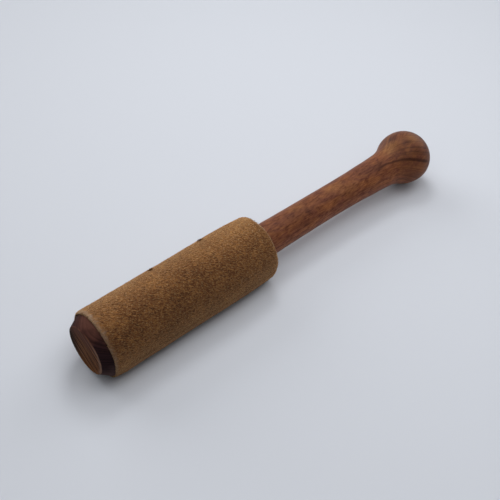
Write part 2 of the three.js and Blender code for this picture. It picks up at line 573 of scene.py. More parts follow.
    def off_vein(self, on: Bench) -> Node:
        """Measures how far above the vein's course a place on the surface is.

        Args:
            on: What the pattern is worked out on.

        Returns:
            The distance over the surface, in metres, the same on the far side as on the near one.
        """
        across = on.add("Math", UNSIGNED, links={0: on.axes["Y"]})
        below = on.add(
            "Math", {"operation": "SUBTRACT"}, {0: on.stick.axis_height * MM},
            {1: on.axes["Z"]},
        )
        angle = on.add("Math", {"operation": "ARCTAN2"}, links={0: across, 1: below})
        start, end = self.vein_span
        along = on.add(
            "MapRange", values={"From Min": on.stick.x_at(start), "From Max": on.stick.x_at(end)},
            links={"Value": on.axes["X"]},
        )
        course = on.add(
            "ValToRGB", links={"Fac": along},
            stops=[(share, grey(half_turns)) for share, half_turns in self.vein_course],
        )
        off_course = on.add("Math", TIMES_PLUS, {1: -math.pi}, {0: course, 2: angle})
        shaky = on.add(
            "TexNoise", values={"Scale": per_metre(self.wobble_mm), "Detail": 2.0},
            links={"Vector": on.place},
        )
        wobble = on.add("Math", TIMES_PLUS, {1: 1.4 * MM, 2: -0.7 * MM}, {0: shaky})
        # On a ball of this size an angle of one radian is about 13 mm.
        return on.add("Math", TIMES_PLUS, {1: 13 * MM}, {0: off_course, 2: wobble})

    def vein_mask(self, on: Bench, off_vein: Node) -> Node:
        """Masks the dark vein that runs from the neck round the near side of the ball.

        Args:
            on: What the pattern is worked out on.
            off_vein: Distance from the vein's course.

        Returns:
            The mask, from 0 to 1.
        """
        off = on.add("Math", UNSIGNED, links={0: off_vein})
        mask = on.add(
            "MapRange", SMOOTH, {"From Min": 1.3 * MM, "From Max": 0.2 * MM, "To Max": 0.85},
            {"Value": off},
        )
        # It comes up on the neck, fades near the ball's far end and stays on the near side.
        for axis, none, full, least in (
            ("X", on.stick.x_at(182), on.stick.x_at(200), 0.0),
            ("X", on.stick.x_at(224.5), on.stick.x_at(221.5), 0.2),
            ("Y", 2 * MM, -2 * MM, 0.0),
        ):
            shown = on.add(
                "MapRange", SMOOTH, {"From Min": none, "From Max": full, "To Min": least},
                {"Value": on.axes[axis]},
            )
            mask = on.add("Math", TIMES, links={0: mask, 1: shown})
        return mask


@dataclass(frozen=True)
class BareRosewood:
    """Rosewood end grain, sawn across and chamfered by hand, with no finish on it.

    Matt. The chamfer has drunk the oil and is almost black where the heartwood is dark, with
    the fine lines of the growth layers, and the sawn face is dull brown with the saw's lines.
    """

    end_black: str = "#221416"
    end_low: str = "#43312f"
    end_dark: str = "#3c2420"
    end_red: str = "#5b3a31"
    sawn_dark: str = "#1f100b"
    sawn_brown: str = "#4c2d1a"
    sawn_pale: str = "#84583a"
    sawn_warm: str = "#784a20"
    worn: str = "#8c7162"
    ior: float = 1.5
    roughness: float = 0.76
    shine: float = 0.04
    fibre_mm: float = 0.5
    end_line_mm: float = 0.7
    saw_line_mm: float = 1.7
    uneven_mm: float = 5.0

    def material(self, stick: "TurnedStick") -> bpy.types.Material:
        """Builds the bare wood's nodes.

        Args:
            stick: The stick, whose tip places the colours.

        Returns:
            The material.
        """
        on = Bench(stick, "bare_rosewood_end_grain")
        chamfer = self.chamfer_colour(on)
        face = self.sawn_colour(on)
        sawn = on.add("Attribute", {"attribute_name": on.stick.SAWN}).outputs["Fac"]
        colour = on.add("Mix", COVER, links={SHARE: sawn, UNDER: chamfer, OVER: face})
        fibre_ends = on.add(
            "TexNoise", values={"Scale": per_metre(self.fibre_mm), "Detail": 2.0},
            links={"Vector": on.place},
        )
        relief = on.add(
            "Bump", values={"Strength": 0.5, "Distance": 0.1 * MM}, links={"Height": fibre_ends},
        )
        shader = on.add(
            "BsdfPrincipled",
            values={"IOR": self.ior, "Roughness": self.roughness, "Specular IOR Level": self.shine},
            links={"Base Color": colour, "Normal": relief},
        )
        on.add("OutputMaterial", links={"Surface": shader})
        return on.material

    def chamfer_colour(self, on: Bench) -> Node:
        """Colours the chamfer: end grain, red-brown high up and almost black below.

        Args:
            on: What the pattern is worked out on.

        Returns:
            The colour.
        """
        uneven = on.add(
            "TexNoise", values={"Scale": per_metre(self.uneven_mm), "Detail": 4.0},
            links={"Vector": on.place},
        )
        # The colour goes by the height over the floor, with borders uneven by 10 mm in all.
        zone = on.add("Math", TIMES_PLUS, {1: 10 * MM}, {0: uneven, 2: on.axes["Z"]})
        share = on.add(
            "MapRange", values={"From Min": 5 * MM, "From Max": 39 * MM}, links={"Value": zone},
        )
        colour = on.add(
            "ValToRGB", links={"Fac": share},
            stops=[
                (0.26, srgb(self.end_low)), (0.50, srgb(self.end_black)), (0.74, srgb(self.end_black)),
                (0.84, srgb(self.end_dark)), (0.95, srgb(self.end_red)),
            ],
        )
        # The growth layers show as fine lines, which fade out towards the top.
        leaning = on.add("Math", TIMES_PLUS, {1: LAYER_TILT}, {0: on.axes["Y"], 2: on.axes["Z"]})
        lines = on.add(
            "TexNoise", ON_LINE, {"Scale": per_metre(self.end_line_mm), "Detail": 1.0},
            {"W": leaning},
        )
        tone = on.add("ValToRGB", links={"Fac": lines}, stops=[(0.42, grey(0.7)), (0.60, grey(1.6))])
        low = on.add(
            "MapRange", SMOOTH,
            {"From Min": 32 * MM, "From Max": 28 * MM, "To Min": 0.15, "To Max": 0.9},
            {"Value": on.axes["Z"]},
        )
        return on.add("Mix", TINT, links={SHARE: low, UNDER: colour, OVER: tone})

    def sawn_colour(self, on: Bench) -> Node:
        """Colours the sawn face: brown, with the saw's lines across it and a paler worn rim.

        Args:
            on: What the pattern is worked out on.

        Returns:
            The colour.
        """
        crooked = on.add(
            "TexNoise", values={"Scale": per_metre(self.uneven_mm), "Detail": 2.0},
            links={"Vector": on.place},
        )
        # The saw's lines lie across their way and bend a little.
        aside, up = SAW_WAY
        lean = on.add("Math", TIMES, {1: -aside}, {0: on.axes["Y"]})
        across = on.add("Math", TIMES_PLUS, {1: up}, {0: on.axes["Z"], 2: lean})
        across = on.add("Math", TIMES_PLUS, {1: 1.2 * MM}, {0: crooked, 2: across})
        lines = on.add(
            "TexNoise", ON_LINE,
            {"Scale": per_metre(self.saw_line_mm), "Detail": 2.0, "Roughness": 0.6}, {"W": across},
        )
        colour = on.add(
            "ValToRGB", links={"Fac": lines},
            stops=[
                (0.42, srgb(self.sawn_dark)), (0.48, srgb(self.sawn_brown)),
                (0.58, srgb(self.sawn_pale)),
            ],
        )
        # It is warmer towards the floor, darker on the far side and redder towards the top.
        for axis, none, full, most, tint in (
            ("Z", 14, 5, 0.5, self.sawn_warm),
            ("Y", 3, 11, 0.85, self.sawn_dark),
            ("Z", 19, 27, 0.7, self.end_red),
        ):
            zone = on.add(
                "MapRange", SMOOTH,
                {"From Min": none * MM, "From Max": full * MM, "To Max": most},
                {"Value": on.axes[axis]},
            )
            colour = on.add("Mix", COVER, {OVER: srgb(tint)}, {SHARE: zone, UNDER: colour})

        centred = on.add(
            "Mapping",
            values={"Location": (0, 0, -on.stick.axis_height * MM), "Scale": (0, 1, 1)},
            links={"Vector": on.place},
        )
        radius = on.add("VectorMath", LENGTH, links={0: centred})
        worn = on.add("Math", TIMES_PLUS, {1: 1.6 * MM}, {0: crooked, 2: radius})
        edge = on.stick.tip_radius
        rim = on.add(
            "MapRange", SMOOTH,
            {"From Min": (edge - 1.6) * MM, "From Max": (edge + 0.6) * MM, "To Max": 0.6},
            {"Value": worn},
        )
        # The rim is worn on the near side, off the floor.
        for axis, none, full in (("Y", -5, -12), ("Z", 6, 12)):
            shown = on.add(
                "MapRange", SMOOTH, {"From Min": none * MM, "From Max": full * MM},
                {"Value": on.axes[axis]},
            )
            rim = on.add("Math", TIMES, links={0: rim, 1: shown})
        return on.add("Mix", COVER, {OVER: srgb(self.worn)}, {SHARE: rim, UNDER: colour})


@dataclass(frozen=True)
class SplitSuede:
    """Tan split suede, brushed to a short nap.

    Warm mid brown that turns golden where it is seen along the nap, mottled where the nap lies
    this way or that, with a greyer, paler, fuzzy band where the sheet was cut. Light is painted
    on its upper side and towards the handle, and shade on its lower near side.
    """

    deep: str = "#452a17"
    base: str = "#633e25"
    pale: str = "#976b40"
    dusty: str = "#ac8f6a"
    cut_edge: str = "#a08977"
    # Glue-stained flesh side and cut faces, painted darker still for the shade they lie in.
    shaded_cut_face: str = "#4b3a2e"
    sheen: str = "#dcb081"
    nap_mm: float = 0.62
    mottle_mm: float = 4.0
    cloud_mm: float = 15.0
    # Fibre ends are 0.03 mm thick. Their pale specks are drawn this large so that they show.
    end_mm: float = 0.45
    # The nap was brushed at a slant across the sheet, so its streaks are drawn out that way.
    brushed: float = math.radians(57)
    brush_stretch: float = 2.5
    # Painted light and shade: what the colour is multiplied by, from the lower side near the tip,
    # painted darker, to the upper side towards the handle, painted lighter, as light falls from above.
    painted_top_light_tints: tuple[tuple[float, Colour], ...] = (
        (0.0, (0.73, 0.69, 0.63, 1.0)), (0.5, (0.99, 0.95, 0.88, 1.0)), (1.0, (1.36, 1.40, 1.30, 1.0)),
    )

    def material(self, sleeve: "SuedeSleeve") -> bpy.types.Material:
        """Builds the suede's nodes.

        Args:
            sleeve: The sleeve, whose flat map and cut edges the pattern follows.

        Returns:
            The material.
        """
        suede, add = blank_material("tan_split_suede")
        flat = add("UVMap", {"uv_map": sleeve.FLAT_MAP})
        brushed = add(
            "Mapping", DRAWN_OUT,
            {"Rotation": (0, 0, self.brushed), "Scale": (self.brush_stretch, 1, 1)}, {"Vector": flat},
        )
        nap, mottle, clouds, ends = (
            add(
                "TexNoise", ON_SHEET,
                {"Scale": per_metre(size), "Detail": detail, "Roughness": rough, "Distortion": bent},
                {"Vector": where},
            )
            for size, detail, rough, bent, where in (
                (self.nap_mm, 3.0, 0.7, 0.9, brushed),
                (self.mottle_mm, 3.0, 0.65, 0.8, flat),
                (self.cloud_mm, 2.0, 0.5, 0.0, flat),
                (self.end_mm, 1.0, 0.5, 0.0, brushed),
            )
        )
        broad = add("Mix", WEIGH, {SHARE: 0.45}, {FIRST: mottle, SECOND: clouds})
        tone = add("Mix", WEIGH, {SHARE: 0.70}, {FIRST: broad, SECOND: nap})
        # On the upper side and towards the handle the nap's mottle is evened out, and further down
        # light is painted on there.
        lie = add("Attribute", {"attribute_name": sleeve.PAINTED_TOP_LIGHT}).outputs["Fac"]
        smooth = add("Math", TIMES, {1: 0.35}, {0: lie})
        tone = add("Mix", WEIGH, {SECOND: 0.52}, {SHARE: smooth, FIRST: tone})
        colour = add(
            "ValToRGB", links={"Fac": tone},
            stops=[(0.385, srgb(self.deep)), (0.485, srgb(self.base)), (0.605, srgb(self.pale))],
        )
        end_mask = add("ValToRGB", links={"Fac": ends}, stops=[(0.58, grey(0.0)), (0.72, grey(0.5))])

        # The pale band is measured from the cut, and its inner border is ragged.
        from_cut = add("Attribute", {"attribute_name": sleeve.FROM_CUT}).outputs["Fac"]
        ragged = add("Math", TIMES_PLUS, {1: 4.0}, {0: mottle, 2: from_cut})
        ragged = add("Math", TIMES_PLUS, {1: 3.4}, {0: nap, 2: ragged})
        band = add(
            "MapRange", SMOOTH, {"From Min": 5.9, "From Max": 3.5, "To Max": 0.7},
            {"Value": ragged},
        )
        for share, tint in ((end_mask, self.dusty), (band, self.cut_edge)):
            colour = add("Mix", COVER, {OVER: srgb(tint)}, {SHARE: share, UNDER: colour})
        # Painted light and shade: the upper side and the handle end are lightened, the lower near side
        # darkened.
        light = add("ValToRGB", links={"Fac": lie}, stops=self.painted_top_light_tints)
        colour = add("Mix", TINT, {SHARE: 1.0}, {UNDER: colour, OVER: light})
        # The flesh side and the cut faces are dark brown: partly glue stain, partly painted shade.
        face = add(
            "MapRange", SMOOTH, {"From Min": -0.15, "From Max": -0.7, "To Max": 0.9},
            {"Value": from_cut},
        )
        colour = add("Mix", COVER, {OVER: srgb(self.shaded_cut_face)}, {SHARE: face, UNDER: colour})
        relief = add("Bump", values={"Strength": 1.0, "Distance": 0.45 * MM}, links={"Height": nap})
        shader = add(
            "BsdfPrincipled",
            values={
                "Roughness": 0.95, "Specular IOR Level": 0.1,
                "Sheen Weight": 1.0, "Sheen Roughness": 0.4, "Sheen Tint": srgb(self.sheen),
            },
            links={"Base Color": colour, "Normal": relief},
        )
        add("OutputMaterial", links={"Surface": shader})
        return suede


@dataclass(frozen=True)
class SuedeLint:
    """Single collagen fibres pulled out of the suede: matt, pale and dusty, a few of them dark."""

    pale: str = "#91704a"
    brown: str = "#634226"

    def material(self) -> bpy.types.Material:
        """Builds the fibre's nodes.

        Returns:
            The material.
        """
        lint, add = blank_material("suede_lint")
        place = add("TexCoord").outputs["Object"]
        mixed = add("TexNoise", values={"Scale": per_metre(3)}, links={"Vector": place})
        colour = add(
            "ValToRGB", links={"Fac": mixed},
            stops=[(0.40, srgb(self.brown)), (0.58, srgb(self.pale))],
        )
        shader = add(
            "BsdfPrincipled", values={"Roughness": 0.9, "Specular IOR Level": 0.2},
            links={"Base Color": colour},
        )
        add("OutputMaterial", links={"Surface": shader})
        return lint


@dataclass(frozen=True)
class PaperFloor:
    """Matt white paper with a cool cast, which the striker lies on.

    Far from the striker, where no view needs its shadow, the camera sees the paper as an evenly
    lit backdrop. It passes into that between these distances, in metres.
    """

    colour: str = "#d3d7df"
    seen_far: str = "#ced2da"
    backdrop: tuple[float, float] = (0.38, 0.8)

    def material(self) -> bpy.types.Material:
        """Builds the paper's nodes.

        Returns:
            The material.
        """
        paper, add = blank_material("matt_paper")
        shader = add(
            "BsdfPrincipled",
            values={"Base Color": srgb(self.colour), "Roughness": 0.85, "Specular IOR Level": 0.15},
        )
        place = add("TexCoord").outputs["Object"]
        reach = add("VectorMath", LENGTH, links={0: place})
        start, end = self.backdrop
        far = add("MapRange", SMOOTH, {"From Min": start, "From Max": end}, {"Value": reach})
        share = add("Math", TIMES, links={0: far, 1: seen_rays(add)})
        lit = add("Emission", values={"Color": srgb(self.seen_far), "Strength": 1.0})
        surface = add("MixShader", links={0: share, 1: shader, 2: lit})
        add("OutputMaterial", links={"Surface": surface})
        return paper


@dataclass
class TurnedStick:
    """The rosewood stick: sawn and chamfered tip, core, shoulder, handle, cove and ball."""

    NODE = "turned_stick"
    NAME = "rosewood_stick"
    END_GRAIN = "end_grain"
    SAWN = "sawn"

    tip_radius: float = 12.9
    tip_edge_break: float = 0.5
    chamfer_length: float = 5.5
    head_radius: float = 15.9
    belly_radius: float = 16.2
    head_far_radius: float = 15.6
    belly_share: float = 0.77
    head_end: float = 104.7
    shoulder_round: float = 2.2
    shoulder_cove: float = 2.0
    root_radius: float = 9.05
    waist_radius: float = 8.65
    waist_from_ball: float = 62.5
    neck_radius: float = 9.9
    neck_slope: float = 0.056
    cove_radius: float = 23.0
    ball_radius: float = 15.5
    # The tip was shaped by hand and is this much out of round, most of all this way round.
    swell: float = 0.9
    swell_way: float = math.radians(50)
    swell_length: float = 9.0
    # The handle has warped. Up to bend_starts short of its waist it stands off the turned axis
    # by the bow, along X, Y and Z, and from there it bends until the ball's middle is off by
    # the warp.
    bow: tuple[float, float, float] = (0.0, 0.12, 0.15)
    warp: tuple[float, float, float] = (0.5, -0.45, -0.65)
    bend_starts: float = 10.0
    # The ball is sanded flatter by this much on its lower near side.
    sanded: float = 0.7
    sanded_way: float = math.radians(40)
    # Depths of the saw's kerfs, the knife's marks on the chamfer and the waves of the handle.
    kerf_depth: float = 0.09
    knife_depth: float = 0.09
    layer_depth: float = 0.05
    sway_depth: float = 0.06
    flat_depth: float = 0.05
    steps_round: int = 168
    face_rings: int = 40
    chamfer_rings: int = 36
    land_rings: int = 30
    root_rings: int = 72
    neck_rings: int = 64
    cove_rings: int = 24
    ball_rings: int = 84
    tip_x: float = field(init=False)
    length: float = field(init=False)
    axis_height: float = field(init=False)
    profile: list[tuple[float, float]] = field(init=False)

    def __post_init__(self) -> None:
        """Reads the stick's place and length from the frame."""
        low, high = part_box(self.NODE)
        self.tip_x = low[0] / MM
        self.length = (high[0] - low[0]) / MM
        self.axis_height = (low[2] + high[2]) / 2 / MM
        self.profile = self.outline()

    @property
    def ball_centre(self) -> float:
        """Distance of the ball's middle from the sawn face."""
        return self.length - self.ball_radius

    @property
    def waist(self) -> float:
        """Distance of the handle's thinnest place from the sawn face."""
        return self.ball_centre - self.waist_from_ball

    def x_at(self, from_tip: float) -> float:
        """Place along X, in metres, at a distance from the sawn face, in millimetres."""
        return (self.tip_x + from_tip) * MM

    def core_radius(self, from_tip: float) -> float:
        """Radius of the head under the suede.

        Args:
            from_tip: Distance from the sawn face.

        Returns:
            The radius there.
        """
        belly = self.chamfer_length + self.belly_share * (self.head_end - self.chamfer_length)
        if from_tip < belly:
            rise = max(from_tip - self.chamfer_length, 0) / (belly - self.chamfer_length)
            return self.head_radius + (self.belly_radius - self.head_radius) * rise ** 2
        fall = min((from_tip - belly) / (self.head_end - belly), 1)
        return self.belly_radius - (self.belly_radius - self.head_far_radius) * fall ** 2

    def out_of_round(self, from_tip: float, angle: float) -> float:
        """How far the hand-shaped end of the stick stands outside its turned outline.

        Args:
            from_tip: Distance from the sawn face.
            angle: Angle round the stick.

        Returns:
            The distance, in millimetres.
        """
        # It grows over the chamfer and dies out under the suede.
        rise = min(from_tip / self.chamfer_length, 1)
        fall = 1 - ease(self.chamfer_length, self.chamfer_length + self.swell_length, from_tip)
        return self.swell * rise * fall * max(math.cos(angle - self.swell_way), 0) ** 5

    def out_of_line(self, from_tip: float) -> Vector:
        """How far the warped handle is off the turned axis.

        Args:
            from_tip: Distance from the sawn face.

        Returns:
            The offset, in millimetres along X, Y and Z.
        """
        start = self.waist - self.bend_starts
        bend = min(max((from_tip - start) / (self.ball_centre - start), 0), 1) ** 1.3
        leaves = ease(self.head_end - 4, self.head_end + 8, from_tip)
        return Vector(self.warp) * bend + Vector(self.bow) * leaves * (1 - bend)

    def radius_at(self, from_tip: float) -> float:
        """Radius of the turned outline, between its nearest points.

        Args:
            from_tip: Distance from the sawn face.

        Returns:
            The radius there.
        """
        for (x0, r0), (x1, r1) in zip(self.profile, self.profile[1:]):
            if x0 <= from_tip <= x1 and x1 > x0:
                return r0 + (r1 - r0) * (from_tip - x0) / (x1 - x0)
        return 0.0

    def place(self, from_tip: float, angle: float, radius: float) -> Vector:
        """A point round the stick, in metres in the frame.

        Args:
            from_tip: Distance from the sawn face, in millimetres.
            angle: Angle from straight down, towards -Y, in radians.
            radius: Distance from the axis, in millimetres.

        Returns:
            The point.
        """
        return Vector((
            self.x_at(from_tip),
            -radius * math.sin(angle) * MM,
            (self.axis_height - radius * math.cos(angle)) * MM,
        ))

    def outline(self) -> list[tuple[float, float]]:
        """Half outline from the middle of the sawn face to the end of the ball.

        Returns:
            Pairs of distance from the tip and radius.
        """
        right_angle = math.pi / 2
        edge = self.tip_edge_break
        face_radius = self.tip_radius - edge
        points = [(0.0, face_radius * i / self.face_rings) for i in range(self.face_rings)]
        points += arc((edge, face_radius), edge, 2 * right_angle, right_angle, 3)
        for i in range(1, self.chamfer_rings + 1):
            share = i / self.chamfer_rings
            points.append((
                edge + (self.chamfer_length - edge) * share,
                self.tip_radius + (self.head_radius - self.tip_radius) * share,
            ))
        land_end = self.head_end - self.shoulder_round
        for i in range(1, self.land_rings + 1):
            from_tip = self.chamfer_length + (land_end - self.chamfer_length) * i / self.land_rings
            points.append((from_tip, self.core_radius(from_tip)))
        rounding = (land_end, self.core_radius(land_end) - self.shoulder_round)
        points += arc(rounding, self.shoulder_round, right_angle, 0, 6)[1:]
        root_start = self.head_end + self.shoulder_cove
        hollow = (root_start, self.root_radius + self.shoulder_cove)
        points += arc(hollow, self.shoulder_cove, 2 * right_angle, 3 * right_angle, 6)
        return points + self.handle_outline(root_start)

    def handle_outline(self, root_start: float) -> list[tuple[float, float]]:
        """Half outline of the waisted handle, the cove and the ball.

        Args:
            root_start: Where the shoulder's cove ends and the handle begins.

        Returns:
            Pairs of distance from the tip and radius.
        """
        lean = math.atan(self.neck_slope)
        cove_height = self.neck_radius + self.cove_radius * math.cos(lean)
        reach = self.ball_radius + self.cove_radius
        cove_centre = self.ball_centre - math.sqrt(reach ** 2 - cove_height ** 2)
        neck = cove_centre + self.cove_radius * math.sin(lean)
        to_waist = (self.waist - root_start) / 3
        to_neck = (neck - self.waist) / 3
        narrowing = (self.root_radius - self.waist_radius) * 2 / 3
        root_to_waist = (
            (root_start, self.root_radius), (root_start + to_waist, self.root_radius - narrowing),
            (self.waist - to_waist, self.waist_radius), (self.waist, self.waist_radius),
        )
        waist_to_neck = (
            (self.waist, self.waist_radius), (self.waist + to_neck, self.waist_radius),
            (neck - to_neck, self.neck_radius - to_neck * self.neck_slope), (neck, self.neck_radius),
        )
        points: list[tuple[float, float]] = []
        for knots, rings in ((root_to_waist, self.root_rings), (waist_to_neck, self.neck_rings)):
            curve = geometry.interpolate_bezier(*[Vector((x, r, 0)) for x, r in knots], rings)
            points += [(p.x, p.y) for p in curve[1:]]

        ball_turn = math.atan2(cove_height, cove_centre - self.ball_centre)
        cove_ends = (lean - math.pi / 2, ball_turn - math.pi)
        cove = arc((cove_centre, cove_height), self.cove_radius, *cove_ends, self.cove_rings)
        ball = arc((self.ball_centre, 0.0), self.ball_radius, ball_turn, 0, self.ball_rings)
        return points + cove[1:] + ball[1:]

    def tool_marks(self, from_tip: float, angle: float, radius: float) -> tuple[float, float]:
        """How far a point of the worked surface is off its ideal place.

        Args:
            from_tip: Distance from the tip.
            angle: Angle round the stick.
            radius: Radius there.

        Returns:
            How far it moves along the stick and outwards, in millimetres.
        """
        if from_tip < 0.01:
            aside, up = SAW_WAY
            across = radius * (aside * math.sin(angle) - up * math.cos(angle))
            kerf = self.kerf_depth * ripple(across, 0.15 * radius, 3.0, 1.1)
            return (kerf + self.kerf_depth) * ease(0, 1.5, self.tip_radius - radius), 0.0
        if from_tip < self.chamfer_length:
            level = -radius * math.cos(angle)
            step = self.layer_depth * ripple(level, 0.1 * from_tip, 5.0, 0.7)
            step += self.knife_depth * ripple(from_tip, 4 * angle, 7.0, 3.0)
            return 0.0, step + self.out_of_round(from_tip, angle)
        if from_tip > self.head_end:
            sway = self.sway_depth * ripple(from_tip, 0.0, 11.0, 9.0)
            flat = self.flat_depth * ripple(from_tip, 4 * math.cos(angle), 4 * math.sin(angle), 22.0)
            on_ball = ease(self.length - 2 * self.ball_radius, self.ball_centre, from_tip)
            sanded = self.sanded * on_ball * max(math.cos(angle - self.sanded_way), 0) ** 12
            return 0.0, (sway + flat) * ease(0, 4, radius) - sanded * radius / self.ball_radius
        return 0.0, self.out_of_round(from_tip, angle)

    def build(self) -> bpy.types.Object:
        """Spins the outline and works the surface as a lathe and a saw leave it.

        Returns:
            The finished stick.
        """
        bm = bmesh.new()
        rings = [bm.verts.new((self.x_at(x), 0, -r * MM)) for x, r in self.profile]
        edges = [bm.edges.new(pair) for pair in zip(rings, rings[1:])]
        bmesh.ops.spin(
            bm, geom=rings + edges, cent=(0, 0, 0), axis=(1, 0, 0), angle=2 * math.pi,
            steps=self.steps_round, use_merge=True,
        )
        bmesh.ops.remove_doubles(bm, verts=bm.verts, dist=1e-6)
        bmesh.ops.recalc_face_normals(bm, faces=bm.faces)
        bm.normal_update()
        end_grain = bm.verts.layers.float.new(self.END_GRAIN)
        sawn = bm.verts.layers.float.new(self.SAWN)
        for vert in bm.verts:
            from_tip = vert.co.x / MM - self.tip_x
            angle = math.atan2(-vert.co.y, -vert.co.z)
            radius = math.hypot(vert.co.y, vert.co.z) / MM
            vert[end_grain] = max(vert.normal.x, 0) ** 1.5
            vert[sawn] = float(from_tip < 0.3)
            along, outwards = self.tool_marks(from_tip, angle, radius)
            vert.co = self.place(from_tip + along, angle, radius + outwards)
            vert.co += self.out_of_line(from_tip) * MM
        for face in bm.faces:
            middle = face.calc_center_median().x / MM - self.tip_x
            face.material_index = int(middle < self.chamfer_length + 0.5)
        finishes = [OiledRosewood().material(self), BareRosewood().material(self)]
        return object_from(bm, self.NAME, finishes)

    def dress(self) -> None:
        """Builds the stick and puts it in the place of its CAD node."""
        piece = self.build()
        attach(piece, Body.STRIKER.value)
        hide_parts(self.NODE)
        log.info("%s: %d faces", piece.name, len(piece.data.polygons))


@dataclass
class SuedeSleeve:
    """One sheet of suede, rolled once round the head, with its flap lapped over its start."""

    NODE = "suede_wrap"
    NAME = "suede_sleeve"
    FROM_CUT = "from_cut"
    PAINTED_TOP_LIGHT = "nap_lie"
    FLAT_MAP = "sheet_flat"

    stick: TurnedStick
    start: float = 5.5
    length: float = 100.0
    thickness: float = 1.2
    glue_film: float = 0.1
    lap_film: float = 0.2
    flap_edge_angle: float = math.radians(24)
    lap_angle: float = math.radians(42)
    climb_angle: float = math.radians(12)
    skived: float = 0.4
    skive_angle: float = math.radians(24)
    flap_edge: float = 0.9
    bevel_angle: float = math.radians(12)
    # The cut edge is worn round, over this distance and down to this share of the thickness.
    edge_width: float = 2.0
    edge_left: float = 0.35
    # Away from the cut edges the leather stands this much higher, from this distance on.
    loft: float = 0.1
    loft_from: float = 6.0
    nap: float = 0.09
    unevenness: float = 0.13
    # The cut wavers by this much over its length, jags by this much from fibre to fibre and
    # bulges by this much halfway through the leather. Its straying dies out over the reach.
    edge_waver: float = 0.35
    edge_jag: float = 0.15
    edge_bulge: float = 0.15
    waver_reach: float = 9.0
    # The flap's corner at the tip was pared to this share of its thickness, over this distance.
    pared_left: float = 0.45
    pared_length: float = 8.0
    steps_round: int = 228
    steps_along: int = 184
    steps_through: int = 3
    edge_rows: int = 6

    @property
    def turn_angle(self) -> float:
        """Angle that the whole sheet goes through, from its inner end to the flap's edge."""
        return 2 * math.pi + self.lap_angle

    @property
    def flat_width(self) -> float:
        """Width that the sheet was cut to, before it was rolled."""
        middle = self.stick.head_radius + self.glue_film + self.thickness / 2
        return middle * self.turn_angle + self.lap_angle * self.thickness

    def sheet_thickness(self, turned: float) -> float:
        """Thickness of the leather at an angle along the sheet.

        Args:
            turned: Angle from the sheet's inner end.

        Returns:
            The thickness: skived at the inner end and bevelled at the flap.
        """
        inner = self.skived + (self.thickness - self.skived) * min(turned / self.skive_angle, 1)
        left = (self.turn_angle - turned) / self.bevel_angle
        flap = self.flap_edge + (self.thickness - self.flap_edge) * min(left, 1)
        return min(inner, flap)

    def layer_rise(self, turned: float) -> float:
        """How far the flesh side stands off the glued core.

        Args:
            turned: Angle from the sheet's inner end.

        Returns:
            The rise over the sheet's own start.
        """
        if turned >= 2 * math.pi:
            return self.sheet_thickness(turned - 2 * math.pi) + self.lap_film
        climb = ease(2 * math.pi - self.climb_angle, 2 * math.pi, turned)
        return climb * (self.skived + self.lap_film)

    def spread(self, share: float, steps: int, length: float) -> float:
        """Crowds the first and last rows of the sheet into its rounded edges.

        Args:
            share: Place across the evenly divided slab, from 0 to 1.
            steps: How many divisions the slab has.
            length: The slab's real length, in millimetres.

        Returns:
            The place in millimetres from the first edge.
        """
        row = share * steps
        if row <= self.edge_rows:
            return self.edge_width * (1 - math.cos(math.pi / 2 * row / self.edge_rows))
        if row >= steps - self.edge_rows:
            left = (steps - row) / self.edge_rows
            return length - self.edge_width * (1 - math.cos(math.pi / 2 * left))
        inner = (row - self.edge_rows) / (steps - 2 * self.edge_rows)
        return self.edge_width + inner * (length - 2 * self.edge_width)

    def kept_share(self, from_edge: float) -> float:
        """Share of the thickness that the sheet keeps at a distance from its worn cut edge."""
        into = max(1 - from_edge / self.edge_width, 0)
        return self.edge_left + (1 - self.edge_left) * math.sqrt(max(1 - into ** 2, 0))

    def pared_share(self, turned: float, from_cut: float) -> float:
        """Share of the thickness that the flap's pared corner keeps, from the cut at the tip."""
        flap = ease(2 * math.pi - self.climb_angle, 2 * math.pi, turned)
        return 1 - (1 - self.pared_left) * flap * (1 - ease(0, self.pared_length, from_cut))

    def slab(self) -> bmesh.types.BMesh:
        """The sheet as a unit slab, divided finely both ways and through its thickness.

        Returns:
            The slab: X across the roll, Y along the stick and Z from flesh to nap, each 0 to 1.
        """
        bm = bmesh.new()
        bmesh.ops.create_cube(bm, size=1, matrix=Matrix.Translation((0.5, 0.5, 0.5)))
        for axis, steps in enumerate((self.steps_round, self.steps_along, self.steps_through)):
            across = [
                edge for edge in bm.edges
                if abs(edge.verts[0].co[axis] - edge.verts[1].co[axis]) > 0.5
            ]
            bmesh.ops.subdivide_edges(bm, edges=across, cuts=steps - 1, use_grid_fill=True)
        return bm

    def angle_of(self, turned: float) -> float:
        """Angle round the stick, from straight down, of a place turned along the sheet."""
        return self.flap_edge_angle + self.lap_angle - turned

    def surface(self, turned: float, from_tip: float, height: float) -> Vector:
        """A point of the rolled sheet.

        Args:
            turned: Angle from the sheet's inner end.
            from_tip: Distance from the tip.
            height: Distance from the flesh side, in millimetres.

        Returns:
            The point, in metres, pressed flat where it would reach into the floor.
        """
        end = max(min(from_tip - self.start, self.start + self.length - from_tip), 0)
        rise = self.layer_rise(turned) * self.kept_share(end)
        rise *= self.pared_share(turned, max(from_tip - self.start, 0))
        angle = self.angle_of(turned)
        inner = self.stick.core_radius(from_tip) + self.stick.out_of_round(from_tip, angle)
        point = self.stick.place(from_tip, angle, inner + self.glue_film + rise + height)
        point.z = max(point.z, 0.0)
        return point

    def cut_waver(self, s: float, far_cut: bool) -> float:
        """How far, in millimetres, the near or the far cut strays from straight at s across."""
        seed = 40 if far_cut else 0
        return self.edge_waver * ripple(s, seed, 2.0, 13.0) + self.edge_jag * ripple(s, seed, 6.0, 1.3)

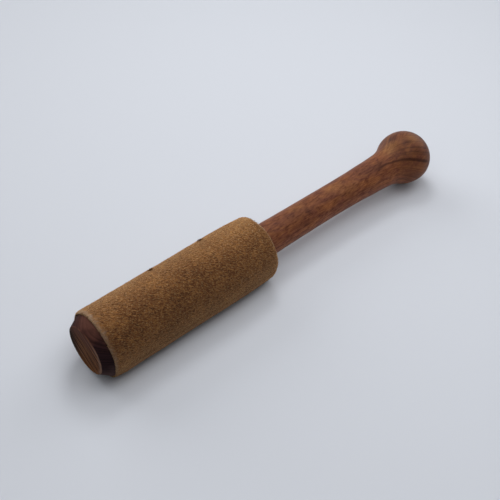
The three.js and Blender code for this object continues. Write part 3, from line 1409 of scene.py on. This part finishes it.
    def build(self) -> bpy.types.Object:
        """Rolls the slab round the core and raises its nap.

        Returns:
            The finished sleeve.
        """
        bm = self.slab()
        from_cut = bm.verts.layers.float.new(self.FROM_CUT)
        nap_lie = bm.verts.layers.float.new(self.PAINTED_TOP_LIGHT)
        flat = bm.loops.layers.uv.new(self.FLAT_MAP)
        width = self.flat_width
        places = {}
        for vert in bm.verts:
            across, along, level = vert.co
            far_cut = along >= 0.5
            on_nap = level > 0.99
            s = self.spread(across, self.steps_round, width)
            x = self.spread(along, self.steps_along, self.length)
            places[vert.index] = (s, x)
            turned = s / width * self.turn_angle
            side = min(s, width - s)
            end = min(x, self.length - x)
            kept = self.kept_share(end) * (self.kept_share(side) if turned > math.pi else 1)
            kept *= self.pared_share(turned, x)
            loft = self.loft * ease(0, self.loft_from, end)
            height = level * (self.sheet_thickness(turned) * kept + loft)
            if on_nap and turned > self.lap_angle:
                height += self.nap * ripple(s, x, 1.0, 0.9) + 0.5 * self.nap * ripple(s, x, 5.0, 0.5)
                height += self.unevenness * ripple(s, x, 9.0, 11.0)
            strays = self.cut_waver(s, far_cut) * (1 - ease(0, self.waver_reach, end))
            from_tip = self.start + x + strays
            if end < 0.01:
                bulge = self.edge_bulge * math.sin(math.pi * level)
                from_tip += bulge if far_cut else -bulge
            # Painted top light: strongest on the upper side, between these degrees, and growing
            # towards the handle.
            degrees = math.degrees(self.angle_of(turned)) % 360
            up_side = ease(130, 185, degrees) * (1 - ease(230, 300, degrees))
            vert[nap_lie] = 0.7 * up_side + 0.3 * ease(40, 95, x)
            # The pale band is widest on top, and a third as wide at the far end.
            fringe = min(side, x * (1 - 0.35 * up_side), 3 * (self.length - x))
            vert[from_cut] = fringe if on_nap else -1.0
            vert.co = self.surface(turned, from_tip, height)
        for face in bm.faces:
            for loop in face.loops:
                s, x = places[loop.vert.index]
                loop[flat].uv = (s * MM, x * MM)
        bmesh.ops.recalc_face_normals(bm, faces=bm.faces)
        return object_from(bm, self.NAME, [SplitSuede().material(self)])

    def dress(self) -> None:
        """Builds the sleeve, puts it in the place of its CAD node and logs the size of its flat sheet.
        """
        piece = self.build()
        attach(piece, Body.STRIKER.value)
        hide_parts(self.NODE)
        log.info("%s: %d faces", piece.name, len(piece.data.polygons))
        log.info("%s: cut %.1f by %.1f mm", piece.name, self.flat_width, self.length)


@dataclass
class LooseFibres:
    """Fibres that stand out of the nap, fray at the cut edges and bunch in two tufts."""

    NAME = "suede_fibres"

    sleeve: SuedeSleeve
    seed: int = 11
    on_nap: int = 3000
    on_each_cut: int = 420
    in_tuft: int = 46
    # A collagen fibre bundle is about 0.03 mm thick. These are 0.09 mm thick so that they show.
    radius: float = 0.045
    # Each tuft's distance from the tip, and its place round the stick in degrees.
    tufts: tuple[tuple[float, float], ...] = ((46.1, 213.0), (76.7, 215.0))
    nap_way: float = math.radians(33)
    lifted: float = 0.12
    rooted: float = 0.04
    # No fibre is drawn where the cosine of the angle from straight down is above this.
    pressed: float = 0.9

    def strand(self, curve: bpy.types.Curve, points: list[Vector], radius: float) -> None:
        """Adds one tapered fibre.

        Args:
            curve: The curve that holds all fibres.
            points: The fibre's points, in metres.
            radius: Its radius as a share of the curve's.
        """
        spline = curve.splines.new("POLY")
        spline.points.add(len(points) - 1)
        for i, (knot, point) in enumerate(zip(spline.points, points)):
            knot.co = (*point, 1)
            knot.radius = radius * (1 - 0.6 * i / (len(points) - 1))

    def lay(
        self, turned: float, from_tip: float, way: float, length: float, lift: float, curl: float,
    ) -> list[Vector]:
        """Lays one fibre over the nap.

        Args:
            turned: Angle of its root along the sheet.
            from_tip: Distance of its root from the tip.
            way: Direction in the flat sheet, from along the stick, in radians.
            length: The fibre's length.
            lift: How far its middle stands off the nap.
            curl: How far its direction turns by its end, in radians.

        Returns:
            The fibre's points.
        """
        sleeve = self.sleeve
        steps = 4
        radius = sleeve.stick.head_radius + sleeve.thickness
        points = []
        for i in range(steps + 1):
            share = i / steps
            heading = way + curl * share
            turned_here = turned + length * share * math.sin(heading) / radius
            x = from_tip + length * share * math.cos(heading)
            end = min(x - sleeve.start, sleeve.start + sleeve.length - x)
            kept = sleeve.kept_share(max(end, 0)) * sleeve.pared_share(turned_here, x - sleeve.start)
            thick = sleeve.thickness * kept + sleeve.loft * ease(0, sleeve.loft_from, end)
            arch = lift * math.sin(math.pi * min(share * 0.85 + 0.05, 1))
            points.append(sleeve.surface(turned_here, x, thick - self.rooted + arch))
        return points

    def draw(self, curve: bpy.types.Curve) -> None:
        """Draws the fibres of the nap, then those of both cuts, then the tufts.

        Args:
            curve: The curve that holds all fibres.
        """
        rng = random.Random(self.seed)
        sleeve = self.sleeve
        lap_start = sleeve.lap_angle + 0.1
        lap_end = sleeve.turn_angle - sleeve.bevel_angle
        for _ in range(self.on_nap):
            turned = rng.uniform(lap_start, lap_end)
            from_tip = sleeve.start + rng.uniform(1.0, sleeve.length - 2.0)
            if math.cos(sleeve.angle_of(turned)) > self.pressed:
                continue
            self.strand(curve, self.lay(
                turned, from_tip, rng.gauss(self.nap_way, 0.8) + rng.choice((0, math.pi)),
                rng.uniform(0.35, 1.0), abs(rng.gauss(0.0, self.lifted)) + 0.03, rng.gauss(0, 0.6),
            ), rng.uniform(0.7, 1.3))
        far_edge = sleeve.start + sleeve.length
        for edge, outwards in ((sleeve.start + 0.3, math.pi), (far_edge - 0.3, 0.0)):
            for _ in range(self.on_each_cut):
                turned = rng.uniform(lap_start, lap_end)
                if math.cos(sleeve.angle_of(turned)) > self.pressed:
                    continue
                self.strand(curve, self.lay(
                    turned, edge + rng.uniform(-0.2, 0.5), outwards + rng.gauss(0, 0.7),
                    rng.uniform(0.4, 1.1), rng.uniform(0.0, 0.25), rng.gauss(0, 0.8),
                ), rng.uniform(0.7, 1.2))
        for from_tip, degrees in self.tufts:
            turned = sleeve.angle_of(0) - math.radians(degrees) + 2 * math.pi
            turned -= 2 * math.pi if turned > 2 * math.pi else 0
            for _ in range(self.in_tuft):
                self.strand(curve, self.lay(
                    turned + rng.gauss(0, 0.02), from_tip + rng.gauss(0, 0.35),
                    rng.uniform(0, 2 * math.pi), rng.uniform(0.8, 1.8), rng.uniform(0.2, 0.9),
                    rng.gauss(0, 1.5),
                ), rng.uniform(1.0, 1.8))

    def build(self) -> bpy.types.Object:
        """Makes all fibres one mesh of thin tubes.

        Returns:
            The fibres.
        """
        curve = bpy.data.curves.new(self.NAME, "CURVE")
        curve.dimensions = "3D"
        curve.bevel_depth = self.radius * MM
        curve.bevel_resolution = 0
        curve.use_fill_caps = True
        self.draw(curve)
        drawn = bpy.data.objects.new(self.NAME + "_curve", curve)
        mesh = bpy.data.meshes.new_from_object(drawn)
        mesh.name = self.NAME
        mesh.materials.clear()
        mesh.materials.append(SuedeLint().material())
        mesh.shade_smooth()
        bpy.data.objects.remove(drawn)
        bpy.data.curves.remove(curve)
        piece = bpy.data.objects.new(self.NAME, mesh)
        bpy.context.scene.collection.objects.link(piece)
        return piece

    def dress(self) -> None:
        """Draws the fibres and lets them ride with the suede."""
        piece = self.build()
        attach(piece, Body.STRIKER.value)
        log.info("%s: %d faces", piece.name, len(piece.data.polygons))


@dataclass(frozen=True)
class Lamp:
    """A square soft lamp that faces the striker.

    Aside is its direction in degrees to the right of straight behind the striker, and raised
    is its elevation in degrees. Its distance and its side are in metres.
    """

    name: str
    aside: float
    raised: float
    distance: float
    side: float
    watts: float


@dataclass
class Studio:
    """Paper floor, soft lamps all round, and the camera at the photo's angle."""

    aim: tuple[float, float, float] = (-16.85, 0.0, 17.1)
    heading: float = math.radians(41.50)
    elevation: float = math.radians(43.76)
    distance: float = 437.4
    aim_pixel: tuple[float, float] = (249.0, 250.3)
    focal_pixels: float = 850.0
    picture: int = 500
    sensor: float = 36.0
    room_light: float = 0.03
    # Three softboxes overhead and two windows behind.
    lamps: tuple[Lamp, ...] = (
        Lamp("ceiling_softbox", 180, 75, 0.7, 0.9, 2.23),
        Lamp("right_softbox", 90, 70, 0.7, 0.5, 1.15),
        Lamp("back_spot_softbox", 0, 60, 0.6, 0.2, 0.89),
        Lamp("back_left_window", -45, 25, 1.5, 1.2, 10.5),
        Lamp("back_right_window", 45, 25, 1.5, 1.2, 6.2),
    )

    def camera(self) -> None:
        """Sets the camera so that the aim point falls on its pixel of the picture."""
        heading = Vector((math.sin(self.heading), math.cos(self.heading), 0))
        right = Vector((math.cos(self.heading), -math.sin(self.heading), 0))
        forward = heading * math.cos(self.elevation) - Vector((0, 0, math.sin(self.elevation)))
        up = right.cross(forward)
        scale = self.distance / self.focal_pixels
        aside = (self.aim_pixel[0] - self.picture / 2) * scale
        raised = (self.picture / 2 - self.aim_pixel[1]) * scale
        eye = Vector(self.aim) - right * aside - up * raised - forward * self.distance
        data = bpy.data.cameras.new("camera")
        data.sensor_width = self.sensor
        data.lens = self.focal_pixels / self.picture * self.sensor
        data.clip_start = 0.01
        data.clip_end = 20
        camera = bpy.data.objects.new("camera", data)
        turn = Matrix((right, up, -forward)).transposed()
        camera.matrix_world = Matrix.Translation(eye * MM) @ turn.to_4x4()
        bpy.context.scene.collection.objects.link(camera)
        bpy.context.scene.camera = camera

    def floor(self) -> None:
        """Lays the paper at the height that the striker rests at."""
        bm = bmesh.new()
        bmesh.ops.create_grid(bm, x_segments=1, y_segments=1, size=3)
        object_from(bm, "paper_floor", [PaperFloor().material()])

    def hang(self, lamp: Lamp) -> None:
        """Hangs one lamp.

        Args:
            lamp: Its place, its size and its power.
        """
        turn = self.heading + math.radians(lamp.aside)
        raised = math.radians(lamp.raised)
        way = Vector((
            math.sin(turn) * math.cos(raised), math.cos(turn) * math.cos(raised), math.sin(raised),
        ))
        data = bpy.data.lights.new(lamp.name, "AREA")
        data.shape = "SQUARE"
        data.size = lamp.side
        data.energy = lamp.watts
        hung = bpy.data.objects.new(lamp.name, data)
        facing = way.to_track_quat("Z", "Y").to_matrix().to_4x4()
        hung.matrix_world = Matrix.Translation(way * lamp.distance) @ facing
        bpy.context.scene.collection.objects.link(hung)

    def light(self) -> None:
        """Sets the room's faint even light and the backdrop that gloss shows, and hangs the lamps."""
        world = bpy.data.worlds.new("room")
        world.use_nodes = True
        world.node_tree.nodes.clear()
        add = partial(add_node, world.node_tree)
        dim = add("Background", values={"Color": grey(1.0), "Strength": self.room_light})
        pale = add("Background", values={"Color": srgb(PaperFloor.seen_far), "Strength": 1.0})
        mixed = add("MixShader", links={0: seen_rays(add), 1: dim, 2: pale})
        add("OutputWorld", links={"Surface": mixed})
        bpy.context.scene.world = world
        for lamp in self.lamps:
            self.hang(lamp)

    def set_up(self) -> None:
        """Places the camera, the floor and the lamps."""
        self.camera()
        self.floor()
        self.light()
        bpy.context.scene.view_settings.view_transform = "Standard"


def main() -> None:
    """Builds the studio and the striker, piece by piece."""
    logging.basicConfig(level=logging.INFO, format="%(name)s: %(message)s")
    Studio().set_up()
    stick = TurnedStick()
    stick.dress()
    sleeve = SuedeSleeve(stick)
    sleeve.dress()
    LooseFibres(sleeve).dress()


if __name__ == "__main__":
    main()
